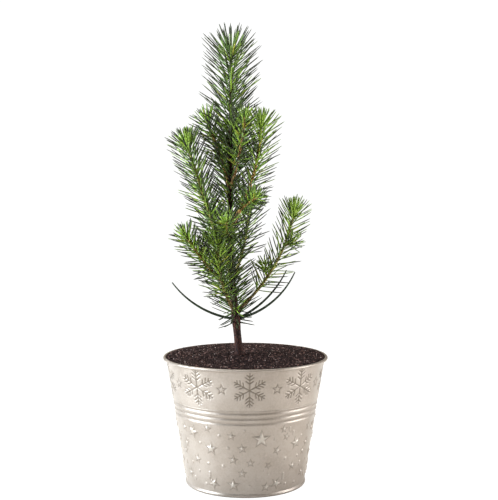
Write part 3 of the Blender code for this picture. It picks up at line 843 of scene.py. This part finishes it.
def shoot_line(shoot):
    start = along(trunk, shoot.root * MM)[0]
    return walk(start, shoot.azimuth, even_bend(shoot.lean_root, shoot.lean_tip),
                shoot.length * MM, SHOOT_STEPS)


def shoot_radius(shoot, distance):
    """It narrows along the bare bough, and then more along the leafy stem."""
    root = BOUGH_LEAST_RADIUS + shoot.length * MM * BOUGH_RADIUS_PER_LENGTH
    bare, length = shoot.bare * MM, shoot.length * MM
    if distance < bare:
        return root * (1 + (BOUGH_TIP_SHARE - 1) * distance / bare)
    tip = root * BOUGH_TIP_SHARE
    return tip + (STEM_TIP_RADIUS - tip) * (distance - bare) / (length - bare)


lines = {name: shoot_line(shoot) for name, shoot in SHOOTS.items()}
print(len(lines), "shoots, the longest", max(shoot.length for shoot in SHOOTS.values()), "mm")

# %% [markdown]
# ## Bark
# A young pine's bark is thin and scaly: low ridges run along the stem where old needles sat.
# A limb is a row of rings, each bridged to the next. The points of a ring are moved in and out
# by noise that is stretched along the limb, which makes the ridges, and by a finer noise for
# chips.
# %% Limbs with bark
RIDGES_ROUND = 1.9
RIDGE_LENGTH = 7 * MM
RIDGE_SCALE = 1.3
CHIP_SIZE = 0.9 * MM
BARK_BASE, BARK_RIDGE, BARK_CHIP = 0.9, 2.6, 0.45


def ring_frames(points, level):
    frames = []
    for index, point in enumerate(points):
        before, after = points[max(index - 1, 0)], points[min(index + 1, len(points) - 1)]
        heading = Vector((0, 0, 1)) if level else (after - before).normalized()
        frames.append(Matrix.Translation(point) @ facing(heading).to_4x4())
    return frames


def barked_limb(points, radii, sides, relief, level=False):
    """A closed limb, with ridges and chips in its bark."""
    bm = bmesh.new()
    loops = []
    for frame, radius in zip(ring_frames(points, level), radii):
        ring = bmesh.ops.create_circle(bm, segments=sides, radius=radius, matrix=frame)["verts"]
        for vert in ring:
            out = vert.co - frame.translation
            where = out.normalized() * RIDGES_ROUND
            where.z += frame.translation.z / RIDGE_LENGTH
            ridge = abs(noise.noise(where * RIDGE_SCALE))
            chip = noise.noise(vert.co / CHIP_SIZE)
            vert.co += out.normalized() * relief * (BARK_BASE - BARK_RIDGE * ridge + BARK_CHIP * chip)
        loops.append({edge for vert in ring for edge in vert.link_edges})
    for lower, upper in zip(loops, loops[1:]):
        bmesh.ops.bridge_loops(bm, edges=list(lower | upper))
    for end in (loops[0], loops[-1]):
        bmesh.ops.edgeloop_fill(bm, edges=list(end))
    bmesh.ops.recalc_face_normals(bm, faces=bm.faces[:])
    return bm


# %% Bark material
OLD_WOOD = (165 * MM, 225 * MM)  # heights between which old bark turns into young bark


def bark_finish(name, dark, light, crack, old=None):
    """Bark: mottled, with cracks between its scales, and with an old colour low down."""
    finish, tree, shader = new_finish(name, 0.8, gloss=0.2)
    body = mottled(tree, 210, dark, light, fine=4, stretch=(1, 1, 0.45))
    where = place_node(tree, "ShaderNodeTexCoord").outputs["Object"]
    tone = body["Color"]
    if old:
        height = place_node(tree, "ShaderNodeSeparateXYZ", {"Vector": where}).outputs["Z"]
        tone = blend_colours(tree, ramp(tree, height, *OLD_WOOD), (*old, 1), tone)
    where = place_node(tree, "ShaderNodeMapping", {"Vector": where, "Scale": (1, 1, 0.4)}).outputs[0]
    scales = place_node(tree, "ShaderNodeTexVoronoi", {"Vector": where, "Scale": 620.0},
                        feature="DISTANCE_TO_EDGE").outputs["Distance"]
    open_share = ramp(tree, scales, 0.02, 0.16)
    tree.links.new(blend_colours(tree, open_share, (*crack, 1), tone), shader.inputs["Base Color"])
    tree.links.new(ramp(tree, body["Mask"], 0, 1, 0.68, 0.88), shader.inputs["Roughness"])
    add_bump(tree, shader, maths(tree, "ADD", open_share, body["Grain"]), 0.6, 0.3 * MM)
    return finish


# %% [markdown]
# ## The trunk
# It flares where it enters the soil, swells where the lowest boughs leave it, and narrows
# steadily to its tip. Its old bark is a dark red brown.
# %% Trunk
TRUNK_FOOT_RADIUS, TRUNK_TIP_RADIUS = 3.9 * MM, 1.3 * MM
FLARE, FLARE_HEIGHT = 1.4 * MM, 4 * MM
KNOT, KNOT_HEIGHT, KNOT_REACH = 1.0 * MM, 37 * MM, 8 * MM
TRUNK_SIDES, TRUNK_RELIEF = 26, 0.16 * MM
TRUNK_BARK = ((0.018, 0.0045, 0.0025), (0.09, 0.032, 0.020), (0.006, 0.002, 0.001))


def trunk_radius(height):
    plain = TRUNK_FOOT_RADIUS + (TRUNK_TIP_RADIUS - TRUNK_FOOT_RADIUS) * height / TRUNK_HEIGHT
    flare = FLARE * math.exp(-height / FLARE_HEIGHT)
    knot = KNOT * math.exp(-((height - KNOT_HEIGHT) / KNOT_REACH) ** 2)
    return plain + flare + knot


radii = [trunk_radius(TRUNK_HEIGHT * step / TRUNK_STEPS) for step in range(TRUNK_STEPS + 1)]
bm = barked_limb(trunk, radii, TRUNK_SIDES, TRUNK_RELIEF, level=True)
finish_piece("trunk_bark", bm, bark_finish("trunk_bark", *TRUNK_BARK), ["trunk"])

# %% [markdown]
# ## Boughs and stems
# A bough goes on as the stem that carries the needles, so both are one limb here. The bark's
# colour depends on age and sun: orange brown, plain brown, or olive on the youngest wood. Near
# the foot of the crown all of it turns into the darker brown of old wood.
# %% Boughs
BOUGH_SIDES, BOUGH_RELIEF = 14, 0.1 * MM
OLD_BROWN = (0.13, 0.065, 0.035)
BARKS = {
    "orange": ((0.46, 0.22, 0.06), (0.82, 0.48, 0.19), (0.18, 0.08, 0.02)),
    "brown": ((0.33, 0.18, 0.06), (0.60, 0.38, 0.16), (0.12, 0.06, 0.02)),
    "olive": ((0.23, 0.19, 0.045), (0.50, 0.43, 0.13), (0.09, 0.07, 0.02)),
}
for tone, colours in BARKS.items():
    bm = bmesh.new()
    names = [name for name, shoot in SHOOTS.items() if shoot.bark == tone]
    for name in names:
        shoot = SHOOTS[name]
        step = shoot.length * MM / SHOOT_STEPS
        radii = [shoot_radius(shoot, index * step) for index in range(SHOOT_STEPS + 1)]
        bm.from_mesh(as_mesh(barked_limb(lines[name], radii, BOUGH_SIDES, BOUGH_RELIEF), "limb"))
    nodes = ["bough_" + name for name in names] + ["needles_" + name for name in names]
    finish_piece("boughs_" + tone, bm, bark_finish("bark_" + tone, *colours, OLD_BROWN),
                 nodes)

# %% [markdown]
# ## A needle
# A needle is a narrow green blade, a millimetre and a half wide and three centimetres long, with
# a keel, a short point and a slight bend. It is a four-sided cone, cut into lengths so that it
# can swell in its middle and bend. It is one unit long, so that a matrix can give each copy its
# own size. A needle's outer part is darker than the part near the stem, so each one is two
# closed lengths that meet, each with its own colour. Needles that fold up round a shoot's tip
# stay green almost to their points, so theirs meet farther out.
# %% Needle shape
NEEDLE_SWELL = ((0.0, 0.75), (0.25, 0.95), (0.5, 1.0), (0.78, 0.9), (0.93, 0.62), (1.0, 0.12))
NEEDLE_KEEL = 0.7
NEEDLE_BENDS = (0.3, 1.0, 1.8)
MEETS = {"wide": 0.55, "folded": 0.7}
OVERLAP = 0.01


def needle_shape(start, end, bend):
    """The length of a needle between two shares of it, closed at both ends."""
    bm = bmesh.new()
    bmesh.ops.create_cone(bm, cap_ends=True, segments=4, radius1=0.5, radius2=0.5, depth=end - start,
                          matrix=Matrix.Translation((0, 0, (start + end) / 2)))
    for height, _ in NEEDLE_SWELL:
        if start < height < end:
            bmesh.ops.bisect_plane(bm, geom=bm.verts[:] + bm.edges[:] + bm.faces[:],
                                   plane_co=(0, 0, height), plane_no=(0, 0, 1))
    for vert in bm.verts:
        swell = min(NEEDLE_SWELL, key=lambda pair: abs(pair[0] - vert.co.z))[1]
        vert.co.x = vert.co.x * swell * NEEDLE_KEEL + bend * vert.co.z ** 2
        vert.co.y *= swell
    bmesh.ops.recalc_face_normals(bm, faces=bm.faces[:])
    return as_mesh(bm, "needle")


def needle_halves(meet, bend):
    return needle_shape(0.0, meet + OVERLAP, bend), needle_shape(meet - OVERLAP, 1.0, bend)


needle_shapes = {kind: [needle_halves(meet, bend) for bend in NEEDLE_BENDS]
                 for kind, meet in MEETS.items()}
print("a needle has", sum(len(shape.polygons) for shape in needle_shapes["wide"][0]), "faces")

# %% [markdown]
# ## Greens
# Needles are grass green when they're new, deep green when they're grown, and bluer or more
# olive green inside the crown. The shade green is painted shade: a darker green for needles
# that stand in the shadow inside the crown. The darkest colour is for outer lengths, which look
# almost black against white. Each spray is dealt its colours needle by needle, and all lengths
# of one colour are one piece. Every green is mottled a little, and waxy, not glossy.
# %% Needle colours
Green = namedtuple("Green", "dark light outer")  # outer: the green of the outer length
GREENS = {
    "tips": Green((0.018, 0.022, 0.009), (0.046, 0.055, 0.020), "tips"),
    "shade": Green((0.036, 0.067, 0.012), (0.092, 0.15, 0.026), "tips"),
    "grown": Green((0.084, 0.140, 0.015), (0.19, 0.28, 0.037), "tips"),
    "sage": Green((0.10, 0.165, 0.047), (0.21, 0.30, 0.092), "tips"),
    "fresh": Green((0.165, 0.27, 0.019), (0.33, 0.47, 0.055), "grown"),
    "new": Green((0.21, 0.33, 0.035), (0.37, 0.50, 0.10), "grown"),
    "olive": Green((0.17, 0.18, 0.015), (0.35, 0.34, 0.042), "grown"),
}
sprays = {tone: bmesh.new() for tone in GREENS}
owners = {tone: set() for tone in GREENS}


def needle_finish(tone, dark, light):
    finish, tree, shader = new_finish("needles_" + tone, 0.5, gloss=0.25)
    body = mottled(tree, 150, dark, light, fine=5)
    tree.links.new(body["Color"], shader.inputs["Base Color"])
    tree.links.new(ramp(tree, body["Mask"], 0, 1, 0.42, 0.58), shader.inputs["Roughness"])
    add_bump(tree, shader, body["Grain"], 0.25, 0.2 * MM)
    return finish


def set_needle(tone, owner, kind, root, way, length, width, rng):
    """One needle. It bends upright, more or less, as it goes out."""
    side = way.cross(Vector((0, 0, 1)))
    side = side.normalized() if side.length > 1e-4 else Vector((1, 0, 0))
    up = side.cross(way).normalized()
    frame = Matrix((up, side, way)).transposed() @ Matrix.Rotation(rng.uniform(-0.9, 0.9), 3, "Z")
    place = Matrix.Translation(root) @ (frame @ Matrix.Diagonal((width, width, length))).to_4x4()
    inner_shape, outer_shape = rng.choice(needle_shapes[kind])
    outer = GREENS[tone].outer
    strew(sprays[tone], inner_shape, place)
    strew(sprays[outer], outer_shape, place)
    owners[tone].add(owner)
    owners[outer].add(owner)


# %% [markdown]
# ## Dealing out the needles
# The rule walks up a stretch of stem and sets needles a golden turn apart. A fifth or more of a
# shoot's needles sit in its last few millimetres, where they fold up from wide to straight and
# get shorter, which gives the round brush at its end.
# %% Needle rule
NEEDLE_SPREAD = 50
ROOT_SPREAD = 16
SPREAD_DRIFT = 5
Brush = namedtuple("Brush", "needles length stretch")  # two shares, and mm of stem
BRUSH = Brush(0.20, 0.62, 6)
WIDE_BRUSHES = {"right_low": Brush(0.30, 0.74, 6), "front_low": Brush(0.26, 0.66, 7)}
LEADER_BRUSH = Brush(0.25, 0.76, 8)
GOLDEN_TURN = 137.5
TURN_DRIFT = 12
FOLDED_FROM = 0.3
NEEDLE_WIDTH = 1.55 * MM
NEEDLE_LENGTHS = (0.84, 1.04)
NEEDLE_WIDTHS = (0.85, 1.1)
# shade is the painted shade green.
TONE_WEIGHTS = {"shade": 0.26, "grown": 0.36, "sage": 0.16, "fresh": 0.16}  # olive has the rest
SAGE_SHARE = 0.55
NEW_CHANCE, NEW_SHARE = 0.8, 0.6


def place_on_stem(share, start, end, brush):
    """How far along a stem a needle sits, and how far it is folded up."""
    if brush is None:
        return start + (end - start) * share, 0.0
    lower, stretch = 1 - brush.needles, brush.stretch * MM
    if share < lower:
        return start + (end - stretch - start) * share / lower, 0.0
    folded = (share - lower) / brush.needles
    return end - stretch * (1 - folded), folded


def tone_for(share, glow, age, brushed, rng):
    """The colour of a needle: newer towards a shoot's tip, and on the trunk more painted shade green low
    down.
    """
    if age and brushed:
        return "sage" if rng.random() < SAGE_SHARE else "shade"
    newness = glow * ease((share - 0.3) / 0.6)
    if rng.random() < newness * NEW_CHANCE:
        return "new" if rng.random() < NEW_SHARE else "fresh"
    if rng.random() < age * (1.4 - 0.8 * share):
        return "shade" if age < 1 else "tips"
    chance = rng.random()
    for tone, weight in TONE_WEIGHTS.items():
        chance -= weight
        if chance < 0:
            return tone
    return "olive"


def grow_needles(owner, points, start, end, count, length, spread, rng,
                 brush=None, root_spread=0, glow=0.0, age=0.0, width=1.0):
    """Set a number of needles on a line, between two distances along it."""
    for index in range(count):
        share = (index + 0.5) / count
        distance, folded = place_on_stem(share, start, end, brush)
        root, heading = along(points, distance)
        tilt = spread + root_spread * (1 - ease(share / 0.5))
        tilt = tilt * math.sqrt(1 - folded) + rng.uniform(-SPREAD_DRIFT, SPREAD_DRIFT)
        turn = index * GOLDEN_TURN + rng.uniform(-TURN_DRIFT, TURN_DRIFT)
        way = facing(heading) @ direction(turn, tilt)
        reach = length * rng.uniform(*NEEDLE_LENGTHS) * (1 + (brush.length - 1) * folded if brush else 1)
        brushed = folded > FOLDED_FROM
        tone = tone_for(share, glow, age, brushed, rng)
        set_needle(tone, owner, "folded" if brushed else "wide", root, way, reach,
                   NEEDLE_WIDTH * width * rng.uniform(*NEEDLE_WIDTHS), rng)


# %% Needles on the shoots
for name, shoot in SHOOTS.items():
    rng = random.Random(f"{SEED} scene {name}")
    grow_needles("needles_" + name, lines[name], (shoot.bare + 3) * MM, (shoot.length - 0.5) * MM,
                 shoot.needles, shoot.needle * MM, NEEDLE_SPREAD, rng,
                 WIDE_BRUSHES.get(name, BRUSH), ROOT_SPREAD, shoot.glow)
print("needles on the shoots:", sum(shoot.needles for shoot in SHOOTS.values()))

# %% [markdown]
# ## Side twigs
# Two of the lower shoots have short side twigs, each with a small bright tuft.
# %% Twigs
TWIGS = {"right_low": 2, "back_low": 1}
TWIG_LENGTH = 15 * MM
TWIG_STEPS = 12
TWIG_RADII = [(1.0 - 0.3 * step / TWIG_STEPS) * MM for step in range(TWIG_STEPS + 1)]
TWIG_SPREAD = 42
TWIG_NEEDLES = 26
TWIG_NEEDLE_SHARE = 0.6
TWIG_GLOW = 1.6
twig_bm = bmesh.new()
for name, count in TWIGS.items():
    shoot, rng = SHOOTS[name], random.Random(f"{SEED} twigs {name}")
    for index in range(count):
        share = (index + 0.6) / (count + 0.6)
        root, heading = along(lines[name], (shoot.bare + (shoot.length - shoot.bare) * share) * MM)
        turn = 90 + index * GOLDEN_TURN + rng.uniform(-10, 10)
        way = facing(heading) @ direction(turn, TWIG_SPREAD)
        points = [root + way * TWIG_LENGTH * step / TWIG_STEPS for step in range(TWIG_STEPS + 1)]
        twig_bm.from_mesh(as_mesh(barked_limb(points, TWIG_RADII, 10, 0.06 * MM), "twig"))
        grow_needles("needles_" + name, points, 4 * MM, TWIG_LENGTH - 0.5 * MM, TWIG_NEEDLES,
                     shoot.needle * MM * TWIG_NEEDLE_SHARE, NEEDLE_SPREAD, rng, BRUSH, ROOT_SPREAD,
                     glow=TWIG_GLOW, width=0.9)
finish_piece("twigs", twig_bm, bark_finish("bark_twigs", *BARKS["olive"]),
             ["needles_" + name for name in TWIGS])

# %% [markdown]
# ## Needles on the trunk
# The trunk carries needles of its own between the whorls, and its last stretch is the leader,
# which has the longest needles and stands above everything else. The oldest needles, at the
# foot, are few, short and dark and hang a little.
# %% Trunk needles
# The last column is the share of needles that get the shade green, painted shade for the inside of the
# crown, more of it low on each stretch; at the foot, where it is 1, most of the old needles get the
# darkest green instead.
Sleeve = namedtuple("Sleeve", "start end needle needles spread age")
SLEEVES = {
    "foot": Sleeve(32, 47, 22, 22, 108, 1.0),
    "low": Sleeve(38, 83, 31, 105, 64, 0.4),
    "middle": Sleeve(84, 127, 31, 80, 58, 0.4),
    "upper": Sleeve(128, 173, 30, 72, 56, 0.4),
    "crown": Sleeve(174, 236, 37, 140, 57, 0.5),
    "leader": Sleeve(234, 301, 39, 175, 54, 0.4),
}
for name, sleeve in SLEEVES.items():
    rng = random.Random(f"{SEED} scene sleeve {name}")
    brush = LEADER_BRUSH if name == "leader" else None
    grow_needles("needles_" + name, trunk, sleeve.start * MM, sleeve.end * MM, sleeve.needles,
                 sleeve.needle * MM, sleeve.spread, rng, brush, age=sleeve.age)

# %% Needle pieces
for tone, green in GREENS.items():
    finish_piece("needles_" + tone, sprays[tone], needle_finish(tone, green.dark, green.light),
                 sorted(owners[tone]))

# %% [markdown]
# ## Long needles at the foot of the crown
# Four old needles hang out from the lowest whorl in long dark curves. Each is a limb of its own
# that leans out first and then bends up to its tip.
# %% Long needles
LONG_NEEDLES = (  # azimuth, length, and the leans at the root and the tip
    (186, 76, 83, 36), (-8, 79, 78, 24), (14, 73, 69, 26), (96, 70, 80, 24))
LONG_NEEDLE_ROOT = 36 * MM
LONG_NEEDLE_RADIUS = 1.3 * MM
LONG_NEEDLE_TAPER = 0.55
LONG_NEEDLE_STEPS = 40
LONG_NEEDLE_GREENS = ((0.016, 0.022, 0.012), (0.040, 0.058, 0.030))
long_root = along(trunk, LONG_NEEDLE_ROOT)[0]
long_bm = bmesh.new()
radii = [LONG_NEEDLE_RADIUS * (1 - LONG_NEEDLE_TAPER * (step / LONG_NEEDLE_STEPS) ** 2)
         for step in range(LONG_NEEDLE_STEPS + 1)]
for azimuth, length, first_lean, last_lean in LONG_NEEDLES:
    points = walk(long_root, azimuth, even_bend(first_lean, last_lean), length * MM, LONG_NEEDLE_STEPS)
    long_bm.from_mesh(as_mesh(barked_limb(points, radii, 8, 0.02 * MM), "long needle"))
finish_piece("needles_long", long_bm, needle_finish("long", *LONG_NEEDLE_GREENS),
             ["needles_foot"])

# %% [markdown]
# ## The size of the dressed part
# The box that the dressed part fills is printed last.
# %% Sizes and finish
low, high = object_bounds()
print("the dressed part reaches from", in_mm(low), "to", in_mm(high))
